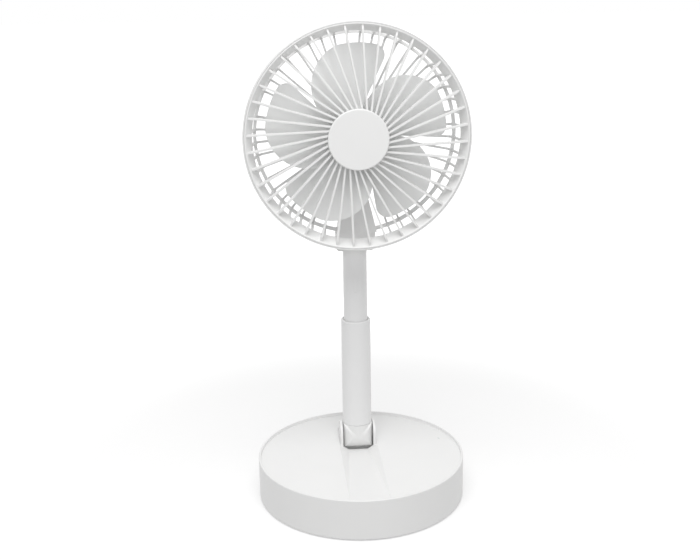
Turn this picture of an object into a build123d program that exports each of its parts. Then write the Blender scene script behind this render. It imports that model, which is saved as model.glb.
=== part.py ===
from build123d import *

import os
from math import asin, cos, degrees, hypot, radians, sin, sqrt

# Folding desk fan on a telescopic pole, standing upright with its head facing -Y.
# Origin: the middle of the round base, on the surface it stands on. +Z is up, +Y is the back.

# --- base: a round box with a sunk top and a channel that the folded pole lies in ---
base_diameter = 180.0
base_height = 35.5
foot_stand_off = 0.8
foot_diameter = 14.0
foot_sink = 1.0
foot_inset = 14.0
shell_wall = 2.2
rim_width = 1.8
rim_drop = 2.5
rim_round = 0.6
plate_thickness = 2.2
plate_recess = 0.4
plate_clearance = 0.2

channel_half_width = 16.9
channel_wall_slant = 1.5
channel_depth = 5.7
channel_crease_depth = 3.7
channel_crease_y = -6.5
channel_front_y = -87.0
channel_back_y = 60.0
channel_ramp_gap = 11.5
channel_corner_radius = 12.0
channel_wall = 2.0

# --- pole hinge on the base ---
pole_y = 33.0
pole_axis_rise = 7.0
hinge_side_gap = 0.7
washer_thickness = 0.5
ear_thickness = 2.2
ear_radius = 11.0
ear_depth_below_floor = 8.0
pocket_front_gap = 9.9
pocket_back_gap = 14.5
pocket_depth = 3.0
hinge_pin_diameter = 4.0
washer_diameter = 9.0
pin_seat_clearance = 0.01
pin_run_clearance = 0.05

# --- telescopic pole ---
lower_tube_diameter = 25.9
lower_tube_wall = 1.7
lower_tube_length = 98.0
seam_height = 11.0
seam_chamfer = 0.5
knuckle_corner = 9.0
knuckle_spigot_length = 12.0
upper_tube_diameter = 21.0
upper_tube_wall = 1.5
tube_fit_clearance = 0.05
bush_length = 8.0
bush_wall = 0.45
slider_length = 6.0
slider_spigot_length = 10.0
groove_width = 2.0
groove_depth = 0.55
key_clearance = 0.1
insertion = 25.5
grip_mark_length = 14.5
grip_mark_width = 4.0
grip_mark_depth = 0.35
grip_mark_drop = 26.7

# --- hinge under the head ---
head_hinge_height = 181.5
clevis_width = 33.0
clevis_radius = 8.0
clevis_slot_width = 15.0
clevis_slot_clearance = 0.4
clevis_floor = 0.9
clevis_collar = 3.0
clevis_spigot_length = 14.0
clevis_chamfer = 2.0
lug_boss_radius = 7.3

# --- head: sizes along the fan's axis are depths behind the plane of the front rim ---
head_rise = 94.4
head_front_y = -16.0
head_diameter = 184.0
rim_lip = 1.5
shroud_depth = 13.5
shroud_straight = 7.5
shroud_taper = 4.5
skirt_depth = 10.2
skirt_inset = 7.9
skirt_wall = 1.3
skirt_clearance = 0.3
bezel_width = 1.5
bezel_depth = 3.0
bezel_clearance = 0.15

spoke_count = 40
spoke_width = 1.6
spoke_offset = 8.0
spoke_depth = 3.4
spoke_start_angle = 95.9
hub_diameter = 49.0
hub_front = 6.0
hub_cap_thickness = 2.4
hub_disc_thickness = 2.0
hub_cap_round = 0.9

cage_rib_count = 48
cage_rib_width = 1.7
cage_rib_thickness = 2.4
cage_depth = 33.2
cage_ring_inset = 9.8
cage_ring_width = 3.0
cage_ring_thickness = 3.6
cage_corner_inset = 4.0

motor_cup_radius = 27.0
motor_cup_front = 26.5
motor_cup_back = 36.0
motor_cup_wall = 2.2
motor_cup_round = 3.0
motor_diameter = 24.4
motor_front = 12.0
motor_fit_clearance = 0.05
motor_boss_wall = 2.4
motor_sleeve_front = 24.0

neck_front = 25.0
neck_back = 37.0
neck_cover_thickness = 2.4
neck_wall = 2.2
neck_hinge_clearance = 11.5
neck_bottom_half_width = 17.0
neck_middle_half_width = 13.4
neck_middle_rise = 15.5
neck_waist_half_width = 8.0
neck_waist_rise = 36.0
neck_bottom_sag = 1.0
neck_cover_clearance = 0.15
lug_arm_front = 14.5
lug_arm_back = 10.0
lug_arm_drop = 5.0
lug_guard_thickness = 2.3
lug_guard_inset = 0.5
neck_screw_offset = 5.8
neck_screw_rise = 24.0
neck_boss_diameter = 5.6

blade_count = 5
blade_tip_inset = 17.7
blade_lead_angle = 68.0
blade_lead_root_angle = 77.0
blade_trail_angle = 101.0
blade_belly_share = 0.766
blade_belly_angle = 129.4
blade_trail_root_radius = 31.2
blade_trail_root_angle = 147.0
blade_centre_angle = 97.0
blade_thickness = 1.6
blade_middle_depth = 14.2
blade_root_slope = 0.42
blade_tip_slope = 0.20
blade_camber = 1.6
blade_corner_radius = 9.0
fan_hub_radius = 20.0
fan_hub_front = 4.5
fan_hub_back = 21.5
fan_hub_wall = 2.2
fan_hub_round = 3.0
shaft_diameter = 3.0
shaft_front = 3.2
fan_boss_radius = 5.0
fan_boss_length = 5.5
rotor_clearance = 1.6

# --- inside the base ---
post_inset = 18.0
post_first_angle = 50.0
post_second_angle = 130.0
post_diameter = 8.0
post_step = 2.0
base_screw_diameter = 3.0
base_screw_head_diameter = 5.6
base_screw_head_height = 1.2
base_screw_recess = 1.4
base_screw_length = 12.0
small_screw_diameter = 2.0
small_screw_head_diameter = 3.8
small_screw_head_height = 1.2
screw_clearance = 0.3
thread_clearance = 0.01

cell_diameter = 18.4
cell_length = 65.0
cell_count = 3
cell_pitch = 19.6
cell_front_y = -60.0
cradle_height = 7.0
cradle_thickness = 2.0
cradle_inset = 8.0
cradle_clearance = 0.15

weight_length = 70.0
weight_width = 38.0
weight_thickness = 4.0
weight_corner = 6.0

control_angle = 18.9
button_offset = 12.0
socket_offset = 9.0
button_diameter = 10.0
button_clearance = 0.3
button_flange = 1.2
button_flange_thickness = 1.2
button_proud = 1.0
button_travel = 0.8
button_round = 0.5
control_height = 17.5
socket_width = 8.94
socket_height = 3.26
socket_length = 7.3
socket_wall = 0.3
socket_recess = 0.6
socket_margin = 0.5
tongue_width = 6.7
tongue_thickness = 0.7
board_length = 26.0
board_width = 36.0
board_thickness = 1.2
board_post_diameter = 6.0
board_post_inset = 4.0
board_edge_gap = 3.5
switch_size = 6.0
switch_depth = 3.6
plunger_diameter = 3.0
plunger_gap = 0.1
lamp_inset = 12.3
lamp_length = 3.0
lamp_width = 1.2
lamp_clearance = 0.05

# --- heights that follow from the sizes above ---
base_radius = base_diameter / 2
foot_circle_radius = base_radius - foot_inset
post_circle_radius = base_radius - post_inset
lamp_radius_on_top = base_radius - lamp_inset
wall_bottom = foot_stand_off
rim_top = wall_bottom + base_height
deck_top = rim_top - rim_drop
deck_under = deck_top - shell_wall
plate_bottom = wall_bottom + plate_recess
plate_top = plate_bottom + plate_thickness
wall_inner_radius = base_radius - shell_wall
plate_radius = wall_inner_radius - plate_clearance
post_foot = plate_top + post_step

pole_z = deck_top + pole_axis_rise
knuckle_radius = lower_tube_diameter / 2
pin_radius = hinge_pin_diameter / 2
ear_inner_x = knuckle_radius + hinge_side_gap
ear_outer_x = ear_inner_x + ear_thickness
channel_floor_z = deck_top - channel_depth
pocket_floor_z = channel_floor_z - pocket_depth
seam_z = pole_z + seam_height
lower_tube_top = seam_z + lower_tube_length
lower_bore_radius = knuckle_radius - lower_tube_wall
upper_tube_radius = upper_tube_diameter / 2
upper_bore_radius = upper_tube_radius - upper_tube_wall
upper_tube_bottom = lower_tube_top - insertion

head_hinge_z = pole_z + head_hinge_height
clevis_bottom = head_hinge_z - lug_boss_radius - clevis_slot_clearance - clevis_floor
upper_tube_top = clevis_bottom - clevis_collar
lug_width = clevis_slot_width - 2 * hinge_side_gap
head_z = head_hinge_z + head_rise
head_radius = head_diameter / 2
skirt_inner_radius = head_radius - skirt_inset
cage_ring_radius = head_radius - cage_ring_inset
blade_tip_radius = head_radius - blade_tip_inset
blade_belly_radius = blade_belly_share * blade_tip_radius

bezel_outer_radius = head_radius - rim_lip
skirt_rear_outer_radius = skirt_inner_radius + skirt_wall
skirt_front_inner_radius = bezel_outer_radius - bezel_width
skirt_front_outer_radius = bezel_outer_radius - bezel_width / 2
hub_radius = hub_diameter / 2
hub_disc_front = hub_front - hub_cap_thickness
neck_back_offset = neck_back - (pole_y - head_front_y)
neck_bottom_y = -head_rise + neck_hinge_clearance
neck_split = neck_back - neck_cover_thickness
motor_radius = motor_diameter / 2
motor_back = motor_cup_back - motor_cup_wall
shaft_radius = shaft_diameter / 2

# The head is drawn flat, with its axis along Z and its front up, and then stood up facing -Y.
head_place = Plane(origin=(0, head_front_y, head_z), x_dir=(1, 0, 0), z_dir=(0, -1, 0)).location
# The controls are drawn with outward along X and then turned to their place round the base.
control_place = Rotation(0, 0, control_angle)


def polar(radius, angle):
    """A point at a radius and an angle in degrees."""
    return radius * cos(radians(angle)), radius * sin(radians(angle))


def turned(points):
    """A solid turned round Z from an outline of (radius, height) points."""
    outline = make_face(Polyline(*points, close=True))
    return revolve(Plane.XZ * outline, Axis.Z)


def rod(radius, bottom, top, x=0.0, y=0.0):
    """An upright cylinder between two heights."""
    return Pos(x, y, (bottom + top) / 2) * Cylinder(radius, top - bottom)


def cross_rod(radius, half_length, y, z):
    """A cylinder along X, centred on the plane X = 0."""
    return Pos(0, y, z) * Rotation(0, 90, 0) * Cylinder(radius, 2 * half_length)


def block(x_range, y_range, z_range):
    """A box between two limits on each axis."""
    sizes = [high - low for low, high in (x_range, y_range, z_range)]
    middles = [(high + low) / 2 for low, high in (x_range, y_range, z_range)]
    return Pos(*middles) * Box(*sizes)


def side_slab(points, half_width, middle_x=0.0):
    """A solid with the outline of (y, z) points seen from +X, and an even width along X."""
    outline = Plane.YZ * make_face(Polyline(*points, close=True))
    return Pos(middle_x, 0, 0) * extrude(outline, half_width, both=True)


def eased_rod(radius, plain_end, eased_end, ease):
    """An upright cylinder with one of its ends eased by two small slopes."""
    inward = ease if eased_end < plain_end else -ease
    return turned(
        [
            (0, plain_end),
            (radius, plain_end),
            (radius, eased_end + inward),
            (radius - 0.3 * ease, eased_end + 0.3 * inward),
            (radius - ease, eased_end),
            (0, eased_end),
        ]
    )


def screw(shank_radius, head_radius_, head_height, length):
    """A pan-head screw pointing up, with the underside of its head at Z = 0."""
    head = rod(head_radius_, -head_height, 0)
    head = chamfer(head.edges().sort_by(Axis.Z)[0], head_height / 4)
    return head + rod(shank_radius, 0, length)


# --- base ---


def channel_section(y, grow):
    """The channel cut across at a place along it, with its walls and floor moved out by grow."""
    low_z = channel_floor_z - grow - 1
    shift = grow * hypot(1, channel_wall_slant)
    low_half = channel_half_width + shift - channel_wall_slant * (deck_top - low_z)
    top_half = channel_half_width + shift + channel_wall_slant * rim_drop
    outline = [(-low_half, low_z), (low_half, low_z), (top_half, rim_top), (-top_half, rim_top)]
    across = Plane(origin=(0, y, 0), x_dir=(1, 0, 0), z_dir=(0, -1, 0))
    return across * make_face(Polyline(*outline, close=True))


def channel_space(grow=0.0):
    """The space of the pole's channel, or the same space with its walls and floor moved out by grow."""
    back = channel_back_y + grow
    front = channel_front_y - grow
    floor = [
        (front, deck_top - grow),
        (channel_crease_y, deck_top - channel_crease_depth - grow),
        (pole_y - channel_ramp_gap, channel_floor_z - grow),
        (back, channel_floor_z - grow),
        (back, rim_top),
        (front, rim_top),
    ]
    along = side_slab(floor, base_radius)
    across = extrude(channel_section(back, grow), back - front)
    half_plan = channel_half_width + channel_wall_slant * rim_drop + 2 * grow
    plan = Rectangle(2 * half_plan, back - front)
    plan = fillet(plan.vertices().group_by(Axis.Y)[-1], channel_corner_radius + grow)
    tall = Pos(0, (back + front) / 2, channel_floor_z - grow) * extrude(plan, base_height)
    return along & across & tall & rod(base_radius - rim_width, 0, rim_top)


def pocket(grow=0.0):
    """The pocket in the channel's floor that the pole's barrel turns in, or the same with walls moved out."""
    y_range = (pole_y - pocket_front_gap - grow, pole_y + pocket_back_gap + grow)
    return block((-ear_inner_x - grow, ear_inner_x + grow), y_range, (pocket_floor_z - grow, deck_top))


def hinge_ear(side):
    """One upright ear beside the pole's foot, rounded over the pin."""
    foot_z = channel_floor_z - ear_depth_below_floor
    straight = block((-ear_thickness / 2, ear_thickness / 2), (-ear_radius, ear_radius), (foot_z, pole_z))
    ear = Pos(0, pole_y, 0) * straight + cross_rod(ear_radius, ear_thickness / 2, pole_y, pole_z)
    return Pos(side * (ear_inner_x + ear_outer_x) / 2, 0, 0) * ear


def post_angles():
    """The angles of the four screw posts, the same on the left and the right."""
    return [sign * angle for sign in (1, -1) for angle in (post_first_angle, post_second_angle)]


def base_cover():
    """Side wall, rim, sunk top with the channel, hinge ears and screw posts, in one moulding."""
    can = rod(base_radius, wall_bottom, rim_top)
    can = chamfer(can.edges().filter_by(GeomType.CIRCLE), rim_round)
    can -= rod(wall_inner_radius, wall_bottom - 1, deck_under)
    can -= rod(base_radius - rim_width, deck_top, rim_top + 1)
    trough = channel_space(channel_wall) & rod(base_radius - shell_wall, 0, deck_top)
    ears = hinge_ear(-1) + hinge_ear(1)
    cover = can + trough + pocket(channel_wall) + ears
    for angle in post_angles():
        x, y = polar(post_circle_radius, angle)
        cover += rod(post_diameter / 2, post_foot, deck_under + shell_wall / 2, x, y)
    cover -= channel_space() - ears
    cover -= pocket()
    cover -= cross_rod(pin_radius + pin_seat_clearance, ear_outer_x + 1, pole_y, pole_z)
    for angle in post_angles():
        x, y = polar(post_circle_radius, angle)
        bore = base_screw_diameter / 2 + thread_clearance
        cover -= rod(bore, post_foot - 1, post_foot + base_screw_length, x, y)
    return cover - control_openings()


def control_openings():
    """The holes for the button, the charging socket and the lamp."""
    reach = (wall_inner_radius - button_diameter, base_radius + 1)
    middle = (reach[0] + reach[1]) / 2
    bore = Cylinder(button_diameter / 2 + button_clearance, reach[1] - reach[0])
    button_hole = Pos(middle, -button_offset, control_height) * Rotation(0, 90, 0) * bore
    slot = SlotOverall(socket_width + 2 * socket_margin, socket_height + 2 * socket_margin)
    slot = Pos(reach[0], socket_offset, control_height) * extrude(Plane.YZ * slot, reach[1] - reach[0])
    lamp = SlotOverall(lamp_length + 2 * lamp_clearance, lamp_width + 2 * lamp_clearance)
    lamp = extrude(Pos(lamp_radius_on_top, 0, deck_under - 1) * Rotation(0, 0, 90) * lamp, shell_wall + 2)
    return control_place * (button_hole + slot + lamp)


def base_plate():
    """The floor of the base, with screw bosses, feet recesses, cell cradles and board posts."""
    plate = rod(plate_radius, plate_bottom, plate_top)
    for angle in post_angles():
        x, y = polar(post_circle_radius, angle)
        plate += rod(post_diameter / 2, plate_bottom, post_foot, x, y)
    plate += cell_cradles()
    for x, y in board_post_places():
        plate += control_place * rod(board_post_diameter / 2, plate_bottom, board_under(), x, y)
    for angle in post_angles():
        x, y = polar(post_circle_radius, angle)
        head_hole = base_screw_head_diameter / 2 + screw_clearance
        plate -= rod(head_hole, 0, plate_bottom + base_screw_recess, x, y)
        plate -= rod(base_screw_diameter / 2 + screw_clearance, 0, post_foot + 1, x, y)
    for x, y in board_post_places():
        bore = small_screw_diameter / 2 + thread_clearance
        plate -= control_place * rod(bore, plate_top, board_under() + 1, x, y)
    for x, y in foot_places():
        plate -= rod(foot_diameter / 2, 0, plate_bottom + foot_sink, x, y)
    return plate


def foot_places():
    """Where the four feet stand."""
    return [polar(foot_circle_radius, angle) for angle in (0, 90, 180, 270)]


def rubber_feet():
    """Four round rubber pads."""
    return [rod(foot_diameter / 2, 0, plate_bottom + foot_sink, x, y) for x, y in foot_places()]


def base_screws():
    """Four screws from below, through the plate and into the posts."""
    seat_z = plate_bottom + base_screw_recess
    one = screw(
        base_screw_diameter / 2,
        base_screw_head_diameter / 2,
        base_screw_head_height,
        base_screw_length,
    )
    return [Pos(*polar(post_circle_radius, angle), seat_z) * one for angle in post_angles()]


def cell_places():
    """The (y, z) middle of each battery cell."""
    z = plate_top + cell_diameter / 2 + cradle_clearance
    return [(cell_front_y + i * cell_pitch, z) for i in range(cell_count)]


def cell_cradles():
    """Two cross ribs on the plate with round seats for the cells."""
    y_low = cell_front_y - cell_diameter / 2
    y_high = cell_front_y + (cell_count - 1) * cell_pitch + cell_diameter / 2
    ribs = Part()
    for side in (-1, 1):
        x = side * (cell_length / 2 - cradle_inset)
        reach = (x - cradle_thickness / 2, x + cradle_thickness / 2)
        ribs += block(reach, (y_low, y_high), (plate_bottom, plate_top + cradle_height))
    for y, z in cell_places():
        ribs -= cross_rod(cell_diameter / 2 + cradle_clearance, cell_length / 2, y, z)
    return ribs


def battery_cells():
    """A row of round lithium cells."""
    cell = cross_rod(cell_diameter / 2, cell_length / 2, 0, 0)
    cell = chamfer(cell.edges(), 0.8)
    return [Pos(0, y, z) * cell for y, z in cell_places()]


def counterweight():
    """A steel plate under the pole that keeps the fan from tipping."""
    outline = RectangleRounded(weight_length, weight_width, weight_corner)
    return Pos(0, pole_y, plate_top) * extrude(outline, weight_thickness)


def board_under():
    """The height of the underside of the circuit board."""
    return control_height - socket_height / 2 - board_thickness


def board_outer_x():
    """Where the outer edge of the circuit board lies."""
    return wall_inner_radius - board_edge_gap - socket_recess


def board_post_places():
    """The two board posts, in the controls' own directions."""
    x = board_outer_x() - board_length + board_post_inset
    y = board_width / 2 - board_post_inset
    return [(x, -y), (x, y)]


def circuit_board():
    """The charging board, with its push switch."""
    x = board_outer_x()
    z = board_under()
    board = block((x - board_length, x), (-board_width / 2, board_width / 2), (z, z + board_thickness))
    for px, py in board_post_places():
        board -= rod(small_screw_diameter / 2 + screw_clearance, z - 1, z + board_thickness + 1, px, py)
    face_x = button_back_x() - button_travel - plunger_gap - 1.0
    half = switch_size / 2
    top = z + board_thickness
    y_range = (-button_offset - half, -button_offset + half)
    body = block((face_x - switch_depth, face_x), y_range, (top, top + switch_size))
    plunger_reach = button_back_x() - button_travel - plunger_gap
    plunger = Cylinder(plunger_diameter / 2, plunger_reach - face_x + 1)
    middle = (plunger_reach + face_x - 1) / 2
    body += Pos(middle, -button_offset, top + half) * Rotation(0, 90, 0) * plunger
    return control_place * (board + body)


def board_screws():
    """Two small screws that hold the board on its posts."""
    one = screw(
        small_screw_diameter / 2,
        small_screw_head_diameter / 2,
        small_screw_head_height,
        board_thickness + 6,
    )
    z = board_under() + board_thickness
    return [control_place * Pos(x, y, z) * Rotation(180, 0, 0) * one for x, y in board_post_places()]


def usb_socket():
    """The charging socket: a folded metal shell with a tongue, lying on the board."""
    mouth_x = sqrt(base_radius**2 - socket_offset**2) - socket_recess
    profile = SlotOverall(socket_width, socket_height)
    bore = SlotOverall(socket_width - 2 * socket_wall, socket_height - 2 * socket_wall)
    back_x = mouth_x - socket_length
    shell = extrude(Plane.YZ * profile, socket_length)
    shell -= Pos(1, 0, 0) * extrude(Plane.YZ * bore, socket_length)
    tongue = block((0, socket_length - 1), (-tongue_width / 2, tongue_width / 2), (0, tongue_thickness))
    tongue = Pos(0, 0, -tongue_thickness / 2) * tongue
    return control_place * Pos(back_x, socket_offset, control_height) * (shell + tongue)


def button_face_x():
    """How far out the wall's surface is beside the button."""
    return sqrt(base_radius**2 - button_offset**2)


def button_back_x():
    """The back of the button's flange."""
    inner = sqrt(wall_inner_radius**2 - (button_offset + button_diameter / 2 + button_flange) ** 2)
    return inner - button_flange_thickness


def power_button():
    """A round push button with a flange behind the wall."""
    back_x = button_back_x()
    front_x = button_face_x() + button_proud
    cap = Pos(back_x, 0, 0) * extrude(Plane.YZ * Circle(button_diameter / 2), front_x - back_x)
    cap = chamfer(cap.edges().sort_by(Axis.X)[-1], button_round)
    flange = Plane.YZ * Circle(button_diameter / 2 + button_flange)
    cap += Pos(back_x, 0, 0) * extrude(flange, button_flange_thickness)
    return control_place * Pos(0, -button_offset, control_height) * cap


def indicator_lens():
    """The lamp's clear insert in the top."""
    lens = extrude(SlotOverall(lamp_length, lamp_width), shell_wall)
    flange = extrude(SlotOverall(lamp_length + 1.6, lamp_width + 1.6), 1.0)
    whole = lens + Pos(0, 0, -1.0) * flange
    return control_place * Pos(lamp_radius_on_top, 0, deck_under) * Rotation(0, 0, 90) * whole


# --- pole ---


def hinge_pin(half_length, z):
    """A plain steel pin along X with eased ends."""
    pin = cross_rod(pin_radius, half_length, pole_y, z)
    return chamfer(pin.edges(), 0.3)


def hinge_washers(outer_x, z):
    """A washer on each side, lying against the outer part of a hinge."""
    ring = Cylinder(washer_diameter / 2, washer_thickness) - Cylinder(pin_radius + pin_run_clearance, 9)
    middle = outer_x - washer_thickness / 2
    return [Pos(side * middle, pole_y, z) * Rotation(0, 90, 0) * ring for side in (-1, 1)]


def pole_knuckle():
    """The foot of the pole: a round barrel, crossed by a stub that carries the lower tube."""
    barrel = cross_rod(knuckle_radius, knuckle_radius, pole_y, pole_z)
    stub = rod(knuckle_radius, pole_z, seam_z, 0, pole_y)
    spigot_radius = lower_bore_radius - tube_fit_clearance
    spigot = rod(spigot_radius, pole_z, seam_z + knuckle_spigot_length, 0, pole_y)
    outline = RectangleRounded(2 * knuckle_radius, 2 * knuckle_radius, knuckle_corner)
    below_seam = Pos(0, pole_y, 0) * extrude(outline, seam_z)
    knuckle = (barrel & below_seam) + stub + spigot
    return knuckle - cross_rod(pin_radius + pin_run_clearance, knuckle_radius + 1, pole_y, pole_z)


def lower_tube():
    """The wider, fixed tube of the pole."""
    tube = rod(knuckle_radius, seam_z, lower_tube_top, 0, pole_y)
    tube = chamfer(tube.edges().sort_by(Axis.Z)[-1], lower_tube_wall / 3)
    tube = chamfer(tube.edges().sort_by(Axis.Z)[0], seam_chamfer)
    return tube - rod(lower_bore_radius, seam_z - 1, lower_tube_top + 1, 0, pole_y)


def guide_bush():
    """The bush in the mouth of the lower tube, with a key that stops the pole turning."""
    top = lower_tube_top - 0.6
    outer = rod(lower_bore_radius - pin_seat_clearance, top - bush_length, top, 0, pole_y)
    bush = outer - rod(upper_tube_radius + tube_fit_clearance, top - bush_length - 1, top + 1, 0, pole_y)
    key_half = groove_width / 2 - key_clearance
    key_inner = upper_tube_radius - groove_depth + key_clearance
    key_y = (key_inner, lower_bore_radius - bush_wall / 2)
    key = block((-key_half, key_half), key_y, (top - bush_length, top))
    return bush + Pos(0, pole_y, 0) * key


def upper_tube():
    """The sliding tube, with a groove down its back for the key and a shallow mark on its front."""
    tube = rod(upper_tube_radius, upper_tube_bottom, upper_tube_top, 0, pole_y)
    tube -= rod(upper_bore_radius, upper_tube_bottom - 1, upper_tube_top + 1, 0, pole_y)
    groove_y = (upper_tube_radius - groove_depth, upper_tube_radius + 1)
    groove_z = (upper_tube_bottom - 1, upper_tube_top + 1)
    groove = block((-groove_width / 2, groove_width / 2), groove_y, groove_z)
    mark = extrude(Plane.XZ * SlotOverall(grip_mark_length, grip_mark_width, rotation=90), upper_tube_wall)
    mark = Pos(0, grip_mark_depth - upper_tube_radius, upper_tube_top - grip_mark_drop) * mark
    return tube - Pos(0, pole_y, 0) * (groove + mark)


def slider_plug():
    """The plug at the sliding tube's lower end, whose flange runs in the lower tube."""
    flange = rod(lower_bore_radius - tube_fit_clearance, upper_tube_bottom - slider_length, upper_tube_bottom)
    spigot_top = upper_tube_bottom + slider_spigot_length
    spigot = rod(upper_bore_radius - pin_seat_clearance, upper_tube_bottom, spigot_top)
    flange = chamfer(flange.edges().sort_by(Axis.Z)[0], 0.8)
    bore = rod(upper_bore_radius - 3, 0, head_z)
    return Pos(0, pole_y, 0) * (flange + spigot - bore)


def pole_top_clevis():
    """The forked top of the pole that holds the head's lug."""
    outline = [
        (-clevis_radius, clevis_bottom),
        (clevis_radius, clevis_bottom),
        (clevis_radius, head_hinge_z),
        (-clevis_radius, head_hinge_z),
    ]
    cheeks = Pos(0, pole_y, 0) * side_slab(outline, clevis_width / 2)
    cheeks += cross_rod(clevis_radius, clevis_width / 2, pole_y, head_hinge_z)
    low_ends = cheeks.edges().filter_by(Axis.Y).group_by(Axis.Z)[0]
    cheeks = chamfer(low_ends, clevis_chamfer)
    collar = rod(upper_tube_radius, upper_tube_top, clevis_bottom + clevis_floor, 0, pole_y)
    spigot_bottom = upper_tube_top - clevis_spigot_length
    spigot = rod(upper_bore_radius - pin_seat_clearance, spigot_bottom, upper_tube_top, 0, pole_y)
    half_slot = clevis_slot_width / 2
    depth = (pole_y - 2 * clevis_radius, pole_y + 2 * clevis_radius)
    slot = block((-half_slot, half_slot), depth, (clevis_bottom + clevis_floor, head_z))
    bore = cross_rod(pin_radius + pin_seat_clearance, clevis_width, pole_y, head_hinge_z)
    return cheeks + collar + spigot - slot - bore


# --- head, drawn with its axis along Z and its front up, so a depth d lies at Z = -d ---


def shroud():
    """The solid ring round the head, with a ledge that the front grille sits on."""
    lip = head_radius - rim_lip + bezel_clearance
    rear_outer = head_radius - shroud_taper
    rear_inner = skirt_rear_outer_radius + skirt_clearance
    ledge = skirt_front_outer_radius + skirt_clearance
    return turned(
        [
            (lip, 0),
            (head_radius - 0.4, 0),
            (head_radius, -0.8),
            (head_radius, -shroud_straight),
            (rear_outer, -shroud_depth),
            (rear_inner, -shroud_depth),
            (rear_inner, -skirt_depth),
            (ledge, -bezel_depth),
            (lip, -bezel_depth),
        ]
    )


def cage_rib():
    """One rib of the rear cage, lying along +X: back from the shroud, then in to the motor."""
    outer = cage_ring_radius + cage_ring_width / 2
    start = head_radius - shroud_taper
    inset = cage_corner_inset
    thick = cage_rib_thickness
    points = [
        (start, -shroud_depth + 1),
        (outer, -cage_depth + inset),
        (outer - inset, -cage_depth),
        (motor_cup_radius - 2, -cage_depth - 1),
        (motor_cup_radius - 2, -cage_depth - 1 + thick),
        (outer - inset - thick / 2, -cage_depth + thick),
        (outer - thick, -cage_depth + inset + thick / 2),
        (start - thick, -shroud_depth + 1),
    ]
    return extrude(Plane.XZ * make_face(Polyline(*points, close=True)), cage_rib_width / 2, both=True)


def cage():
    """All the ribs and the ring that ties them together; the neck takes the place of the lowest ribs."""
    rib = cage_rib()
    pitch = 360 / cage_rib_count
    reach = degrees(asin((neck_bottom_half_width + cage_rib_width) / cage_ring_radius))
    ribs = []
    for i in range(cage_rib_count):
        angle = (i + 0.5) * pitch
        from_bottom = abs((angle - 270 + 180) % 360 - 180)
        if from_bottom > reach:
            ribs.append(Rotation(0, 0, angle) * rib)
    inner = cage_ring_radius - cage_ring_width / 2
    outer = cage_ring_radius + cage_ring_width / 2 - 0.3
    back = cage_depth - cage_corner_inset + cage_ring_thickness / 2
    front = back - cage_ring_thickness
    ring = turned([(inner, -front), (outer, -front), (outer, -back), (inner, -back)])
    half_gap = neck_bottom_half_width - neck_wall / 2
    gap = block(
        (-half_gap, half_gap),
        (-head_radius, neck_bottom_y + neck_bottom_sag),
        (-motor_cup_back, -shroud_depth - 1),
    )
    return ribs, ring - gap


def motor_cup():
    """The closed round dish behind the motor, with a sleeve that grips it."""
    dish = eased_rod(motor_cup_radius, -motor_cup_front, -motor_cup_back, motor_cup_round)
    dish -= rod(motor_cup_radius - motor_cup_wall, -motor_back, 0)
    sleeve = rod(motor_radius + motor_boss_wall, -motor_back - 1, -motor_sleeve_front)
    return dish + sleeve


def neck_outline(inset=0.0):
    """The neck seen from the front: wide at the hinge, drawn in towards the motor."""
    low = neck_bottom_half_width - inset
    middle = neck_middle_half_width - inset
    waist = neck_waist_half_width - inset
    bottom = neck_bottom_y + inset
    rise = bottom + neck_middle_rise
    top = neck_bottom_y + neck_waist_rise
    right = ThreePointArc((low, bottom), (middle, rise), (waist, top))
    left = ThreePointArc((-waist, top), (-middle, rise), (-low, bottom))
    up = Polyline((waist, top), (waist, 0), (-waist, 0), (-waist, top))
    under = ThreePointArc((-low, bottom), (0, bottom - neck_bottom_sag), (low, bottom))
    return make_face([right, up, left, under])


def neck_cover_outline(clearance):
    """The closing plate of the neck, which stays inside the neck's walls."""
    stop = Rectangle(4 * neck_bottom_half_width, -neck_bottom_y - motor_cup_radius - 2)
    stop = Pos(0, (neck_bottom_y - motor_cup_radius - 2) / 2) * stop
    return neck_outline(neck_wall + clearance) & stop


def neck_screw_places():
    """The two screws of the neck, side by side."""
    y = neck_bottom_y + neck_screw_rise
    return [(-neck_screw_offset, y), (neck_screw_offset, y)]


def neck_shell():
    """The hollow neck, open at the back, with screw bosses and the hinge lug."""
    body = Pos(0, 0, -neck_back) * extrude(neck_outline(), neck_back - neck_front)
    pocket = Pos(0, 0, -neck_back) * extrude(neck_cover_outline(0), neck_back - neck_front - neck_wall)
    body -= pocket
    for x, y in neck_screw_places():
        body += rod(neck_boss_diameter / 2, -neck_split, -neck_front - neck_wall / 2, x, y)
    body += hinge_lug()
    for x, y in neck_screw_places():
        body -= rod(small_screw_diameter / 2 + thread_clearance, -neck_back - 1, 0, x, y)
    return body


def hinge_lug():
    """The tongue under the neck that turns on the pole's top pin, with a wide guard in front of it."""
    axis_depth = pole_y - head_front_y
    half = lug_width / 2
    arm_y = (-head_rise - lug_arm_drop, -head_rise + lug_boss_radius)
    arm_front = -(axis_depth - lug_arm_front)
    arm = block((-half, half), arm_y, (-axis_depth, arm_front))
    arm += Pos(0, -head_rise, -axis_depth) * Rotation(0, 90, 0) * Cylinder(lug_boss_radius, lug_width)
    riser_z = (-(axis_depth - lug_arm_back), arm_front)
    neck_y = neck_bottom_y + neck_wall / 2
    arm += block((-half, half), (-head_rise, neck_y), riser_z)
    guard_half = neck_bottom_half_width - lug_guard_inset
    guard_z = (arm_front - lug_guard_thickness, arm_front)
    arm += block((-guard_half, guard_half), (-head_rise - lug_arm_drop, neck_y), guard_z)
    bore = Cylinder(pin_radius + pin_run_clearance, 3 * lug_width)
    return arm - Pos(0, -head_rise, -axis_depth) * Rotation(0, 90, 0) * bore


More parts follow.
